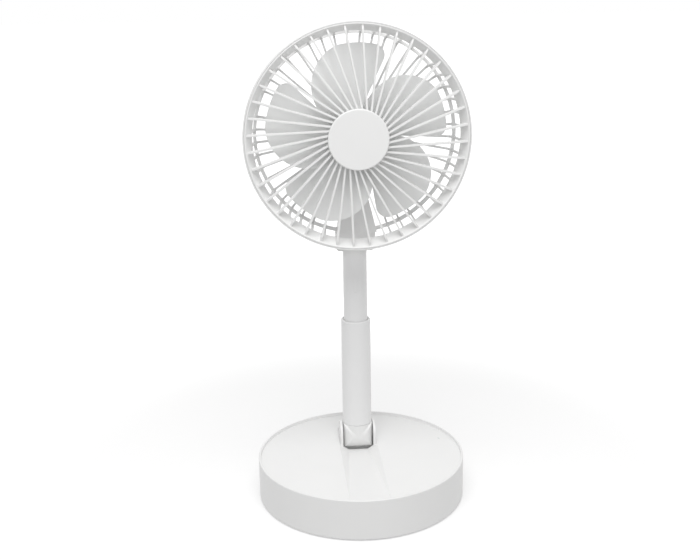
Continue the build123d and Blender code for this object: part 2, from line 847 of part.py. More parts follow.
def rear_shell():
    """Shroud, cage, motor cup and neck, moulded in one."""
    ribs, ring = cage()
    waist = Pos(0, 0, -neck_back) * extrude(neck_outline(), neck_back - motor_cup_front)
    open_ribs = Part() + ribs
    open_ribs -= waist
    ring -= waist
    cup_bore = rod(motor_cup_radius - motor_cup_wall, -motor_back, 0)
    shell = shroud() + open_ribs + ring + motor_cup() + (neck_shell() - cup_bore)
    shell -= rod(motor_radius + motor_fit_clearance, -motor_back, 0)
    return head_place * shell


def neck_cover():
    """The plate that closes the back of the neck."""
    plate = Pos(0, 0, -neck_back) * extrude(neck_cover_outline(neck_cover_clearance), neck_cover_thickness)
    for x, y in neck_screw_places():
        plate -= rod(small_screw_diameter / 2 + screw_clearance, -neck_back - 1, 0, x, y)
        recess = -neck_back + small_screw_head_height
        plate -= rod(small_screw_head_diameter / 2 + screw_clearance, -neck_back - 1, recess, x, y)
    return head_place * plate


def neck_screws():
    """Two small screws through the neck's cover."""
    one = screw(
        small_screw_diameter / 2,
        small_screw_head_diameter / 2,
        small_screw_head_height,
        neck_cover_thickness + 3,
    )
    seat = -neck_back + small_screw_head_height
    return [head_place * Pos(x, y, seat) * one for x, y in neck_screw_places()]


def motor_can():
    """The motor's body, with its front boss open for the shaft."""
    can = eased_rod(motor_radius, -motor_back, -motor_front, 0.8)
    gap = rotor_clearance
    inside = rod(motor_radius - gap, -motor_back + gap, -motor_front - gap)
    return head_place * (can - inside - rod(shaft_radius + pin_run_clearance, -motor_back, 0))


def motor_rotor():
    """The wound rotor inside the motor."""
    reach = motor_radius - 2 * rotor_clearance
    core = rod(reach, -motor_back + 3 * rotor_clearance, -motor_front - 3 * rotor_clearance)
    return head_place * (core - rod(shaft_radius, -motor_back, 0))


def motor_shaft():
    """The steel shaft through the motor and the fan's hub."""
    return head_place * rod(shaft_radius, -motor_back + rotor_clearance / 2, -fan_hub_front - shaft_front)


def grille_ring():
    """The grille's outer ring: a flat bezel, and a skirt that narrows towards the back."""
    return turned(
        [
            (skirt_front_inner_radius, -0.3),
            (skirt_front_inner_radius + 0.4, 0.2),
            (bezel_outer_radius - 0.3, 0.2),
            (bezel_outer_radius, -0.1),
            (bezel_outer_radius, -bezel_depth),
            (skirt_front_outer_radius, -bezel_depth),
            (skirt_rear_outer_radius, -skirt_depth),
            (skirt_inner_radius, -skirt_depth),
        ]
    )


def skirt_radius(depth):
    """The radius of the skirt's inner face at a depth."""
    share = (depth - 0.3) / (skirt_depth - 0.3)
    return skirt_front_inner_radius + share * (skirt_inner_radius - skirt_front_inner_radius)


def spoke():
    """One straight spoke, off centre, whose outer end turns back into the skirt."""
    start = sqrt((hub_radius - 3) ** 2 - spoke_offset**2)
    bury = skirt_wall / 2
    end = sqrt((skirt_radius(1.0) + bury) ** 2 - spoke_offset**2)
    deep = sqrt((skirt_radius(7.5) + bury) ** 2 - spoke_offset**2)
    turn = deep - 3.2
    points = [
        (start, hub_disc_front - 0.6),
        (end - 4.0, 0.4),
        (end, -1.0),
        (deep, -7.5),
        (deep - 1.6, -7.5),
        (turn, 0.4 - spoke_depth - 0.8),
        (start, hub_disc_front - 0.6 - spoke_depth),
    ]
    face = Plane.XZ * make_face(Polyline(*points, close=True))
    return Pos(0, -spoke_offset, 0) * extrude(face, spoke_width / 2, both=True)


def front_grille():
    """Ring, swirled spokes and hub disc, moulded in one."""
    bar = spoke()
    first = spoke_start_angle + degrees(asin(spoke_offset / (skirt_front_inner_radius - 2)))
    spokes = [Rotation(0, 0, first + i * 360 / spoke_count) * bar for i in range(spoke_count)]
    disc = rod(hub_radius - 1.0, hub_disc_front - hub_disc_thickness, hub_disc_front)
    return head_place * (grille_ring() + spokes + disc)


def hub_cap():
    """The plain disc in the middle of the grille."""
    return head_place * eased_rod(hub_radius, hub_disc_front, hub_front, hub_cap_round)


def blade_outline():
    """One blade seen from the front: a nearly straight leading edge, and a broad swept trailing edge."""
    lead_root = polar(fan_hub_radius * 1.2, blade_lead_root_angle)
    lead_tip = polar(blade_tip_radius, blade_lead_angle)
    tip_middle = polar(blade_tip_radius, (blade_lead_angle + blade_trail_angle) / 2)
    trail_tip = polar(blade_tip_radius, blade_trail_angle)
    belly = polar(blade_belly_radius, blade_belly_angle)
    trail_root = polar(blade_trail_root_radius, blade_trail_root_angle)
    inside_lead = polar(fan_hub_radius - fan_hub_wall / 2, blade_lead_root_angle)
    inside_trail = polar(fan_hub_radius - fan_hub_wall / 2, blade_trail_root_angle + 14)
    edges = [
        Polyline(inside_lead, lead_root, lead_tip),
        ThreePointArc(lead_tip, tip_middle, trail_tip),
        ThreePointArc(trail_tip, belly, trail_root),
        Polyline(trail_root, inside_trail, inside_lead),
    ]
    face = make_face(edges)
    corner = face.vertices().sort_by_distance((*lead_tip, 0))[0]
    return fillet(corner, blade_corner_radius)


def blade_section(radius, slope):
    """A thin cambered strip across the blade at a radius, sloping back towards its leading edge."""
    half = blade_tip_radius * 0.62
    depth = blade_middle_depth
    ends = [(-half, slope * half - depth), (half, -slope * half - depth)]
    wires = []
    for shift in (0, -blade_thickness):
        low = (ends[0][0], ends[0][1] + shift)
        high = (ends[1][0], ends[1][1] + shift)
        wires.append(ThreePointArc(low, (0, blade_camber - depth + shift), high))
    left = Line(wires[0] @ 0, wires[1] @ 0)
    right = Line(wires[0] @ 1, wires[1] @ 1)
    strip = Plane(origin=(radius, 0, 0), x_dir=(0, -1, 0), z_dir=(-1, 0, 0))
    return strip * make_face([wires[0], right, wires[1], left])


def blade():
    """One twisted, cambered blade, cut to its outline."""
    root = blade_section(fan_hub_radius * 0.5, blade_root_slope)
    tip = blade_section(blade_tip_radius + 2, blade_tip_slope)
    slab = Rotation(0, 0, blade_centre_angle) * loft([root, tip], ruled=True)
    prism = Pos(0, 0, -motor_cup_front) * extrude(blade_outline(), motor_cup_front)
    return slab & prism


def fan_blades():
    """Five blades on a cup-shaped hub that goes over the front of the motor."""
    hub = eased_rod(fan_hub_radius, -fan_hub_back, -fan_hub_front, fan_hub_round)
    one = blade()
    wheel = hub + [Rotation(0, 0, i * 360 / blade_count) * one for i in range(blade_count)]
    cavity = rod(fan_hub_radius - fan_hub_wall, -fan_hub_back - 5, -fan_hub_front - fan_hub_wall)
    boss = rod(fan_boss_radius, -fan_hub_front - fan_boss_length, -fan_hub_front - fan_hub_wall / 2)
    bore = rod(shaft_radius, -motor_back, -fan_hub_front - shaft_front)
    return head_place * (wheel - (cavity - boss) - bore)


def build():
    """Every piece of the fan, by name."""
    return {
        "base_cover": base_cover(),
        "base_plate": base_plate(),
        "rubber_feet": rubber_feet(),
        "base_screws": base_screws(),
        "battery_cells": battery_cells(),
        "counterweight": counterweight(),
        "circuit_board": circuit_board(),
        "board_screws": board_screws(),
        "usb_socket": usb_socket(),
        "indicator_lens": indicator_lens(),
        "base_hinge_pin": hinge_pin(ear_outer_x, pole_z),
        "base_hinge_washers": hinge_washers(ear_inner_x, pole_z),
        "power_button": power_button(),
        "pole_knuckle": pole_knuckle(),
        "lower_tube": lower_tube(),
        "guide_bush": guide_bush(),
        "upper_tube": upper_tube(),
        "slider_plug": slider_plug(),
        "pole_top_clevis": pole_top_clevis(),
        "head_hinge_pin": hinge_pin(clevis_width / 2, head_hinge_z),
        "head_hinge_washers": hinge_washers(clevis_slot_width / 2, head_hinge_z),
        "rear_shell": rear_shell(),
        "neck_cover": neck_cover(),
        "neck_screws": neck_screws(),
        "motor_can": motor_can(),
        "front_grille": front_grille(),
        "hub_cap": hub_cap(),
        "fan_blades": fan_blades(),
        "motor_shaft": motor_shaft(),
        "motor_rotor": motor_rotor(),
    }


os.makedirs("parts", exist_ok=True)
for name, shape in build().items():
    whole = Compound(children=shape) if isinstance(shape, list) else shape
    export_step(whole, f"parts/{name}.step")
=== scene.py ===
# %% [markdown]
# # A folding desk fan on a telescopic pole
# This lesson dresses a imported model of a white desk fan: a round base with a sunk top, a pole of
# two tubes, and a round head with swirled spokes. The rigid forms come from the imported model, which
# is loaded as a fixed frame. Blender adds the finishes, the small fittings, the light and the camera.

import math

import bmesh
import bpy
from mathutils import Matrix, Vector


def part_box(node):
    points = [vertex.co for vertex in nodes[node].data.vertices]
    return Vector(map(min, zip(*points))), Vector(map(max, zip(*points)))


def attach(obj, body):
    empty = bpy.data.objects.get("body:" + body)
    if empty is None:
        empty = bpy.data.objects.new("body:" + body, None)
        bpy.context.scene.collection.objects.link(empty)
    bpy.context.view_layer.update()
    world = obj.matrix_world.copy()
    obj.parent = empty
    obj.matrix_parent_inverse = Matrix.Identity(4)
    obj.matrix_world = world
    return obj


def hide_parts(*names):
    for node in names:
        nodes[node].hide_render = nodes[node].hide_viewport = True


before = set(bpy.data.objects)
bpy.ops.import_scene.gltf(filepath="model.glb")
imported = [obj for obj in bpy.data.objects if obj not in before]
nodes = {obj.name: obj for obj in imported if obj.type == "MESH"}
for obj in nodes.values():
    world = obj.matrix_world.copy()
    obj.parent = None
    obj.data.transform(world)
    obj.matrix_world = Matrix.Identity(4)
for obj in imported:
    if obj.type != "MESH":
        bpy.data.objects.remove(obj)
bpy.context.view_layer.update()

# %% [markdown]
# ## The stage
# The photograph shows the fan on plain white. A floor that is only white would lose the fan's own
# shadow, and a brighter lamp would wash out the white plastic. So the floor is a pale matt sheet that
# adds a little light of its own for the camera and for reflections, less near the fan than far from
# it, and the shadow stays on it.

# %% Helpers for node trees
scene = bpy.context.scene
MM = 0.001


def new_material(name):
    """An empty node material and its tree."""
    material = bpy.data.materials.new(name)
    material.use_nodes = True
    material.node_tree.nodes.clear()
    return material, material.node_tree


def add_node(tree, kind, place=(0, 0), **values):
    """A node of one kind, with its plain settings."""
    node = tree.nodes.new(kind)
    node.location = place
    for key, value in values.items():
        setattr(node, key, value)
    return node


def wire(tree, source, target):
    """Joins an output to an input."""
    tree.links.new(source, target)


def maths(tree, operation, first, second, place=(0, 0), clamp=False):
    """A Math node whose inputs are sockets or plain numbers."""
    node = add_node(tree, "ShaderNodeMath", place, operation=operation, use_clamp=clamp)
    for socket, value in zip(node.inputs, (first, second)):
        if isinstance(value, (int, float)):
            socket.default_value = value
        else:
            wire(tree, value, socket)
    return node.outputs[0]


# %% Floor and backdrop
def seen_or_mirrored(tree, place=(-800, 300)):
    """One for rays from the camera and for those that mirrors or clear things send on."""
    path = add_node(tree, "ShaderNodeLightPath", place)
    direct = maths(tree, "MAXIMUM", path.outputs["Is Camera Ray"], path.outputs["Is Glossy Ray"])
    return maths(tree, "MAXIMUM", direct, path.outputs["Is Transmission Ray"])


floor_grey = 0.62
lift_near_fan = 0.42
lift_far_off = 1.0
lift_starts_at = 0.25
lift_full_at = 0.7


def floor_material():
    """A matt sheet that adds light of its own, more of it away from the fan."""
    material, tree = new_material("pale_floor")
    out = add_node(tree, "ShaderNodeOutputMaterial", (600, 0))
    matt = add_node(tree, "ShaderNodeBsdfDiffuse", (200, 0))
    matt.inputs["Color"].default_value = (floor_grey, floor_grey, floor_grey, 1)
    place = add_node(tree, "ShaderNodeTexCoord", (-800, -200))
    reach = add_node(tree, "ShaderNodeVectorMath", (-600, -200), operation="LENGTH")
    wire(tree, place.outputs["Object"], reach.inputs[0])
    ramp = add_node(tree, "ShaderNodeMapRange", (-400, -200), interpolation_type="SMOOTHSTEP")
    ramp.inputs["From Min"].default_value = lift_starts_at
    ramp.inputs["From Max"].default_value = lift_full_at
    ramp.inputs["To Min"].default_value = lift_near_fan
    ramp.inputs["To Max"].default_value = lift_far_off
    wire(tree, reach.outputs["Value"], ramp.inputs["Value"])
    glow = add_node(tree, "ShaderNodeEmission", (200, -200))
    strength = maths(tree, "MULTIPLY", seen_or_mirrored(tree), ramp.outputs["Result"])
    wire(tree, strength, glow.inputs["Strength"])
    both = add_node(tree, "ShaderNodeAddShader", (400, 0))
    wire(tree, matt.outputs[0], both.inputs[0])
    wire(tree, glow.outputs[0], both.inputs[1])
    wire(tree, both.outputs[0], out.inputs["Surface"])
    return material


bpy.ops.object.select_all(action="DESELECT")
bpy.ops.mesh.primitive_plane_add(size=16, location=(0, 0, 0))
floor = bpy.context.object
floor.name = "floor"
floor.data.materials.append(floor_material())
print("floor grey", floor_grey, "lift", lift_near_fan, "to", lift_far_off)

# %% [markdown]
# ## Light
# The photograph is lit evenly from all sides, with more light from above and in front: the base's top
# and the head's face are bright, and the base's side is a little darker. So most of the light comes
# from a white room, and one soft square lamp hangs high in front of the fan.

# %% A white room and one soft lamp
world = bpy.data.worlds.new("soft_room")
scene.world = world
world.use_nodes = True
world_tree = world.node_tree
world_tree.nodes.clear()
world_out = add_node(world_tree, "ShaderNodeOutputWorld", (400, 0))
room = add_node(world_tree, "ShaderNodeBackground", (0, 0))
room.inputs["Color"].default_value = (1, 1, 1, 1)
room_level = 0.65
seen = seen_or_mirrored(world_tree)
extra = maths(world_tree, "MULTIPLY", seen, 1 - room_level)
wire(world_tree, maths(world_tree, "ADD", extra, room_level), room.inputs["Strength"])
wire(world_tree, room.outputs[0], world_out.inputs["Surface"])


def soft_lamp(name, place, target, size, power):
    """A square area lamp that looks at a point."""
    bpy.ops.object.light_add(type="AREA", location=place)
    lamp = bpy.context.object
    lamp.name = name
    lamp.data.size = size
    lamp.data.energy = power
    lamp.rotation_euler = (Vector(target) - Vector(place)).to_track_quat("-Z", "Y").to_euler()
    print(name, "at", place)


soft_lamp("key_lamp", (-0.08, -0.55, 1.2), (0, 0, 0.15), 0.8, 6.9)

# %% [markdown]
# ## The camera
# The view was found by fitting a pinhole camera to the base's ellipses, the head's ring and the
# pole's edges in the photograph. Its numbers are an azimuth round the fan, a distance, a height, the
# downward pitch, a small roll, and a focal length in widths of the picture.

# %% Camera
camera_azimuth = math.radians(-5.138)
camera_distance = 0.865101
camera_height = 0.453332
camera_pitch = math.radians(16.623)
camera_yaw = math.radians(-4.668)
camera_roll = math.radians(-0.937)
focal_in_widths = 1072.244 / 700

eye = Vector(
    (
        camera_distance * math.sin(camera_azimuth),
        -camera_distance * math.cos(camera_azimuth),
        camera_height,
    )
)
forward = Vector(
    (
        -math.sin(camera_yaw) * math.cos(camera_pitch),
        math.cos(camera_yaw) * math.cos(camera_pitch),
        -math.sin(camera_pitch),
    )
)
level = Vector((math.cos(camera_yaw), math.sin(camera_yaw), 0))
upward = level.cross(forward)
right = level * math.cos(camera_roll) + upward * math.sin(camera_roll)
up = upward * math.cos(camera_roll) - level * math.sin(camera_roll)
turn = Matrix((right, up, -forward)).transposed()

bpy.ops.object.camera_add(location=eye, rotation=turn.to_euler())
camera = bpy.context.object
camera.name = "photo_camera"
camera.data.sensor_width = 36
camera.data.lens = 36 * focal_in_widths
camera.data.clip_start = 0.01
camera.data.clip_end = 100
scene.camera = camera
scene.view_settings.view_transform = "Standard"
print("lens in mm", round(camera.data.lens, 2))

# %% [markdown]
# ## Shared effects
# Moulded white plastic is never one flat white. It has a very fine grain from the mould, slow changes
# in tone over a few centimetres, and soft edges that catch the light. These effects serve several
# materials, so each one is a node group with named inputs, built once.


# %% The grain of moulded plastic
def group_with(name, inputs, outputs):
    """A shader node group with float inputs, and outputs of the kinds given."""
    group = bpy.data.node_groups.new(name, "ShaderNodeTree")
    for label, value in inputs:
        socket = group.interface.new_socket(label, in_out="INPUT", socket_type="NodeSocketFloat")
        socket.default_value = value
    for label, kind in outputs:
        group.interface.new_socket(label, in_out="OUTPUT", socket_type=kind)
    start = add_node(group, "NodeGroupInput", (-900, 0))
    end = add_node(group, "NodeGroupOutput", (700, 0))
    return group, start, end


def moulded_grain():
    """Fine mould grain for the bump, and slow tone and gloss changes."""
    group, start, end = group_with(
        "moulded_grain",
        [("Grain Scale", 2600.0), ("Tone Amount", 0.02), ("Gloss Amount", 0.05), ("Roughness", 0.4)],
        [("Tone", "NodeSocketFloat"), ("Roughness", "NodeSocketFloat"), ("Height", "NodeSocketFloat")],
    )
    place = add_node(group, "ShaderNodeTexCoord", (-900, -300))
    fine = add_node(group, "ShaderNodeTexNoise", (-600, 200))
    fine.inputs["Detail"].default_value = 3.0
    wire(group, place.outputs["Object"], fine.inputs["Vector"])
    wire(group, start.outputs["Grain Scale"], fine.inputs["Scale"])
    slow = add_node(group, "ShaderNodeTexNoise", (-600, -100))
    slow.inputs["Scale"].default_value = 38.0
    slow.inputs["Detail"].default_value = 2.0
    wire(group, place.outputs["Object"], slow.inputs["Vector"])
    smear = add_node(group, "ShaderNodeTexNoise", (-600, -400))
    smear.inputs["Scale"].default_value = 150.0
    smear.inputs["Detail"].default_value = 4.0
    wire(group, place.outputs["Object"], smear.inputs["Vector"])
    centred = maths(group, "SUBTRACT", slow.outputs["Fac"], 0.5)
    tone = maths(group, "MULTIPLY", centred, start.outputs["Tone Amount"])
    wire(group, maths(group, "ADD", tone, 1.0), end.inputs["Tone"])
    rubbed = maths(group, "SUBTRACT", smear.outputs["Fac"], 0.5)
    gloss = maths(group, "MULTIPLY", rubbed, start.outputs["Gloss Amount"])
    wire(group, maths(group, "ADD", gloss, start.outputs["Roughness"]), end.inputs["Roughness"])
    wire(group, fine.outputs["Fac"], end.inputs["Height"])
    return group


# %% Soft edges
def soft_edges():
    """A rounded normal near sharp edges, and a mask of where they are."""
    group, start, end = group_with(
        "soft_edges",
        [("Radius", 0.0004)],
        [("Normal", "NodeSocketVector"), ("Edge", "NodeSocketFloat")],
    )
    rounded = add_node(group, "ShaderNodeBevel", (-500, 0), samples=6)
    wire(group, start.outputs["Radius"], rounded.inputs["Radius"])
    true_normal = add_node(group, "ShaderNodeNewGeometry", (-500, -250))
    match = add_node(group, "ShaderNodeVectorMath", (-200, -100), operation="DOT_PRODUCT")
    wire(group, rounded.outputs["Normal"], match.inputs[0])
    wire(group, true_normal.outputs["Normal"], match.inputs[1])
    edge = maths(group, "SUBTRACT", 1.0, match.outputs["Value"])
    wire(group, maths(group, "MULTIPLY", edge, 3.0, clamp=True), end.inputs["Edge"])
    wire(group, rounded.outputs["Normal"], end.inputs["Normal"])
    return group


GRAIN = moulded_grain()
EDGES = soft_edges()
print("groups", [g.name for g in bpy.data.node_groups])

# %% [markdown]
# ## Finishes
# Most of the fan is white ABS with a satin mould finish. One function makes such a plastic from a
# colour, a roughness and the strength of its grain, so that every part keeps its own values while the
# recipe stays the same. Edges are painted a touch brighter in the colour, a painted highlight where they
# catch the light.


# %% Moulded plastic
def plastic(name, colour, roughness=0.38, grain=0.12, grain_scale=2600.0, tone=0.025, edge=0.0004):
    """A satin moulded plastic."""
    material, tree = new_material(name)
    out = add_node(tree, "ShaderNodeOutputMaterial", (700, 0))
    skin = add_node(tree, "ShaderNodeBsdfPrincipled", (400, 0))
    wire(tree, skin.outputs[0], out.inputs["Surface"])
    texture = add_node(tree, "ShaderNodeGroup", (-600, 0), node_tree=GRAIN)
    texture.inputs["Grain Scale"].default_value = grain_scale
    texture.inputs["Tone Amount"].default_value = tone
    texture.inputs["Roughness"].default_value = roughness
    rims = add_node(tree, "ShaderNodeGroup", (-600, -300), node_tree=EDGES)
    rims.inputs["Radius"].default_value = edge
    base = add_node(tree, "ShaderNodeMix", (-200, 200), data_type="RGBA", blend_type="MULTIPLY")
    base.inputs["Factor"].default_value = 1.0
    base.inputs["A"].default_value = (*colour, 1)
    tint = add_node(tree, "ShaderNodeCombineColor", (-400, 300))
    for channel in tint.inputs:
        wire(tree, texture.outputs["Tone"], channel)
    wire(tree, tint.outputs[0], base.inputs["B"])
    # Every edge is painted brighter in the base colour: a painted highlight.
    painted_edge_highlight = add_node(tree, "ShaderNodeMix", (0, 200), data_type="RGBA", blend_type="MIX")
    edge_highlight_colour = [min(1.0, c * 1.06) for c in colour]
    painted_edge_highlight.inputs["B"].default_value = (*edge_highlight_colour, 1)
    wire(tree, base.outputs["Result"], painted_edge_highlight.inputs["A"])
    wire(tree, maths(tree, "MULTIPLY", rims.outputs["Edge"], 0.5), painted_edge_highlight.inputs["Factor"])
    wire(tree, painted_edge_highlight.outputs["Result"], skin.inputs["Base Color"])
    wire(tree, texture.outputs["Roughness"], skin.inputs["Roughness"])
    bump = add_node(tree, "ShaderNodeBump", (100, -300))
    bump.inputs["Strength"].default_value = grain
    bump.inputs["Distance"].default_value = 0.00005
    wire(tree, texture.outputs["Height"], bump.inputs["Height"])
    wire(tree, rims.outputs["Normal"], bump.inputs["Normal"])
    wire(tree, bump.outputs["Normal"], skin.inputs["Normal"])
    return material


# %% Turned, rolled and pressed metal
def metal(name, colour, roughness=0.3, brushed=0.0, edge=0.0002):
    """A bare or plated metal, with fine scratches round or along it."""
    material, tree = new_material(name)
    out = add_node(tree, "ShaderNodeOutputMaterial", (700, 0))
    skin = add_node(tree, "ShaderNodeBsdfPrincipled", (400, 0))
    wire(tree, skin.outputs[0], out.inputs["Surface"])
    skin.inputs["Metallic"].default_value = 1.0
    place = add_node(tree, "ShaderNodeTexCoord", (-900, 0))
    stretch = add_node(tree, "ShaderNodeMapping", (-700, 0))
    stretch.inputs["Scale"].default_value = (1, 1, 12) if brushed else (1, 1, 1)
    wire(tree, place.outputs["Object"], stretch.inputs["Vector"])
    scratches = add_node(tree, "ShaderNodeTexNoise", (-500, 0))
    scratches.inputs["Scale"].default_value = 900.0
    scratches.inputs["Detail"].default_value = 6.0
    wire(tree, stretch.outputs["Vector"], scratches.inputs["Vector"])
    shade = add_node(tree, "ShaderNodeValToRGB", (-250, 200))
    shade.color_ramp.elements[0].color = (*[c * 0.86 for c in colour], 1)
    shade.color_ramp.elements[1].color = (*colour, 1)
    wire(tree, scratches.outputs["Fac"], shade.inputs["Fac"])
    wire(tree, shade.outputs["Color"], skin.inputs["Base Color"])
    worn = maths(tree, "MULTIPLY", scratches.outputs["Fac"], 0.18)
    wire(tree, maths(tree, "ADD", worn, roughness - 0.09), skin.inputs["Roughness"])
    rims = add_node(tree, "ShaderNodeGroup", (-500, -300), node_tree=EDGES)
    rims.inputs["Radius"].default_value = edge
    bump = add_node(tree, "ShaderNodeBump", (100, -300))
    bump.inputs["Strength"].default_value = 0.08 + brushed
    bump.inputs["Distance"].default_value = 0.00003
    wire(tree, scratches.outputs["Fac"], bump.inputs["Height"])
    wire(tree, rims.outputs["Normal"], bump.inputs["Normal"])
    wire(tree, bump.outputs["Normal"], skin.inputs["Normal"])
    return material


# %% The fan's own finishes
white = (0.88, 0.88, 0.875)
finishes = {
    "shell_white": plastic("shell_white", white, 0.40, 0.14),
    "grille_white": plastic("grille_white", (0.90, 0.90, 0.895), 0.36, 0.08, edge=0.0005),
    "blade_white": plastic("blade_white", (0.90, 0.905, 0.90), 0.30, 0.05, edge=0.0004),
    "pole_white": plastic("pole_white", (0.86, 0.86, 0.855), 0.40, 0.12),
    "tube_white": plastic("tube_white", (0.86, 0.86, 0.86), 0.34, 0.10, 1800.0),
    "button_white": plastic("button_white", (0.78, 0.78, 0.775), 0.32, 0.06),
    "natural_acetal": plastic("natural_acetal", (0.74, 0.74, 0.72), 0.45, 0.05),
    "black_rubber": plastic("black_rubber", (0.035, 0.035, 0.036), 0.75, 0.5, 1500.0, 0.25),
    "board_green": plastic("board_green", (0.02, 0.12, 0.05), 0.3, 0.1, 1200.0, 0.3, 0.0001),
    "cell_sleeve": plastic("cell_sleeve", (0.06, 0.17, 0.40), 0.28, 0.1, 600.0, 0.08, 0.0004),
    "frosted_lens": plastic("frosted_lens", (0.80, 0.84, 0.82), 0.2, 0.02),
    "pin_steel": metal("pin_steel", (0.62, 0.62, 0.63), 0.28, 0.1),
    "screw_zinc": metal("screw_zinc", (0.60, 0.60, 0.62), 0.34),
    "weight_steel": metal("weight_steel", (0.34, 0.34, 0.35), 0.5, 0.3),
    "socket_nickel": metal("socket_nickel", (0.68, 0.67, 0.66), 0.25),
    "can_steel": metal("can_steel", (0.58, 0.58, 0.59), 0.35, 0.1),
    "copper_wire": metal("copper_wire", (0.72, 0.36, 0.18), 0.35, 0.4),
    "insulator_white": plastic("insulator_white", (0.80, 0.80, 0.78), 0.5, 0.05),
    "chip_black": plastic("chip_black", (0.025, 0.025, 0.027), 0.55, 0.3, 900.0, 0.2, 0.00005),
    "ferrite_grey": plastic("ferrite_grey", (0.10, 0.10, 0.105), 0.7, 0.5, 700.0, 0.2, 0.0001),
    "ceramic_tan": plastic("ceramic_tan", (0.42, 0.30, 0.19), 0.45, 0.1, 1500.0, 0.1, 0.00005),
    "contact_gold": metal("contact_gold", (0.83, 0.62, 0.28), 0.25),
}
finish_of_node = {
    "base_cover": "shell_white",
    "base_plate": "shell_white",
    "rubber_feet": "black_rubber",
    "base_screws": "screw_zinc",
    "battery_cells": "cell_sleeve",
    "counterweight": "weight_steel",
    "circuit_board": "board_green",
    "board_screws": "screw_zinc",
    "usb_socket": "socket_nickel",
    "indicator_lens": "frosted_lens",
    "base_hinge_pin": "pin_steel",
    "base_hinge_washers": "natural_acetal",
    "power_button": "button_white",
    "pole_knuckle": "pole_white",
    "lower_tube": "tube_white",
    "guide_bush": "natural_acetal",
    "upper_tube": "tube_white",
    "slider_plug": "natural_acetal",
    "pole_top_clevis": "pole_white",
    "head_hinge_pin": "pin_steel",
    "head_hinge_washers": "natural_acetal",
    "rear_shell": "shell_white",
    "neck_cover": "shell_white",
    "neck_screws": "screw_zinc",
    "motor_can": "can_steel",
    "front_grille": "grille_white",
    "hub_cap": "grille_white",
    "fan_blades": "blade_white",
    "motor_shaft": "pin_steel",
    "motor_rotor": "copper_wire",
}
for node_name, finish_name in finish_of_node.items():
    piece = nodes[node_name]
    piece.data.materials.clear()
    piece.data.materials.append(finishes[finish_name])
print("nodes without a finish", sorted(set(nodes) - set(finish_of_node)))

# %% [markdown]
# ## Modelling by hand
# The small fittings are modelled the way a person would do it in the editor: a primitive at its size
# and place, faces picked by where they point or lie, and a few operators on them. These helpers only
# save typing. Selections matter, because an operator acts on all that is selected.


# %% Helpers for modelling
def fresh():
    """Nothing selected, so that the next operator only meets what is new."""
    bpy.ops.object.select_all(action="DESELECT")


def only(piece):
    """This piece alone is selected and active."""
    fresh()
    piece.select_set(True)
    bpy.context.view_layer.objects.active = piece


def named(name):
    """The newest object gets its name, and its place goes into its mesh."""
    piece = bpy.context.object
    piece.name = name
    bpy.ops.object.transform_apply(location=True, rotation=True, scale=True)
    return piece


def cylinder(name, radius, bottom, top, vertices=40, x=0.0, y=0.0):
    """An upright cylinder between two heights."""
    fresh()
    middle = (x, y, (bottom + top) / 2)
    depth = top - bottom
    bpy.ops.mesh.primitive_cylinder_add(vertices=vertices, radius=radius, depth=depth, location=middle)
    return named(name)


def box_piece(name, low, high):
    """A box between two corners."""
    fresh()
    middle = [(a + b) / 2 for a, b in zip(low, high)]
    bpy.ops.mesh.primitive_cube_add(size=1, location=middle)
    bpy.context.object.scale = [b - a for a, b in zip(low, high)]
    return named(name)


def edit(piece):
    """Opens one piece in edit mode."""
    only(piece)
    bpy.ops.object.mode_set(mode="EDIT")


def done_editing():
    """Back to object mode."""
    bpy.ops.object.mode_set(mode="OBJECT")


def choose_faces(test):
    """In edit mode, selects the faces whose middle and normal pass a test."""
    bpy.ops.mesh.select_mode(type="FACE")
    bpy.ops.mesh.select_all(action="DESELECT")
    data = bpy.context.object.data
    mesh = bmesh.from_edit_mesh(data)
    for face in mesh.faces:
        face.select_set(bool(test(face.calc_center_median(), face.normal)))
    bmesh.update_edit_mesh(data)


def extend(step, widen=1.0):
    """Extrudes the chosen faces along Z and scales their new place."""
    bpy.ops.mesh.extrude_region_move(TRANSFORM_OT_translate={"value": (0, 0, step)})
    if widen != 1.0:
        bpy.ops.transform.resize(value=(widen, widen, 1))


def apply_modifier(piece, kind, **values):
    """Adds a modifier with its settings and applies it."""
    only(piece)
    modifier = piece.modifiers.new(kind.lower(), kind)
    for key, value in values.items():
        setattr(modifier, key, value)
    bpy.ops.object.modifier_apply(modifier=modifier.name)


def cut_out(piece, cutter):
    """Takes one closed shape out of another."""
    apply_modifier(piece, "BOOLEAN", operation="DIFFERENCE", solver="EXACT", object=cutter)
    bpy.data.objects.remove(cutter)


def clean(piece, angle=40):
    """Merges doubles, turns all faces outwards and smooths the round ones."""
    edit(piece)
    bpy.ops.mesh.select_all(action="SELECT")
    bpy.ops.mesh.remove_doubles(threshold=0.000002)
    bpy.ops.mesh.normals_make_consistent(inside=False)
    done_editing()
    bpy.ops.object.shade_smooth_by_angle(angle=math.radians(angle))


def copied(piece, name, place):
    """A copy with its own mesh, put in its place inside that mesh."""
    twin = piece.copy()
    twin.data = piece.data.copy()
    twin.name = name
    bpy.context.collection.objects.link(twin)
    twin.data.transform(place)
    return twin


def fit(piece, body, slot, *replaced):
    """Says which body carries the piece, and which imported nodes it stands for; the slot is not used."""
    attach(piece, body)
    if replaced:
        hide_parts(*replaced)


def paint(piece, *names):
    """Gives the piece its finishes, the first of them on every face."""
    piece.data.materials.clear()
    for name in names:
        piece.data.materials.append(finishes[name])


def paint_faces(piece, index, test):
    """Puts one of a piece's finishes on the faces whose middle and normal pass a test."""
    for face in piece.data.polygons:
        if test(face.center, face.normal):
            face.material_index = index


# The parts at the side of the base were drawn with outward along X, then turned round the base.
control_angle = math.radians(18.9)
to_controls = Matrix.Rotation(control_angle, 4, "Z")
# A piece that was turned up along Z lies down with its top outward.
outward = Matrix.Rotation(math.radians(90), 4, "Y")

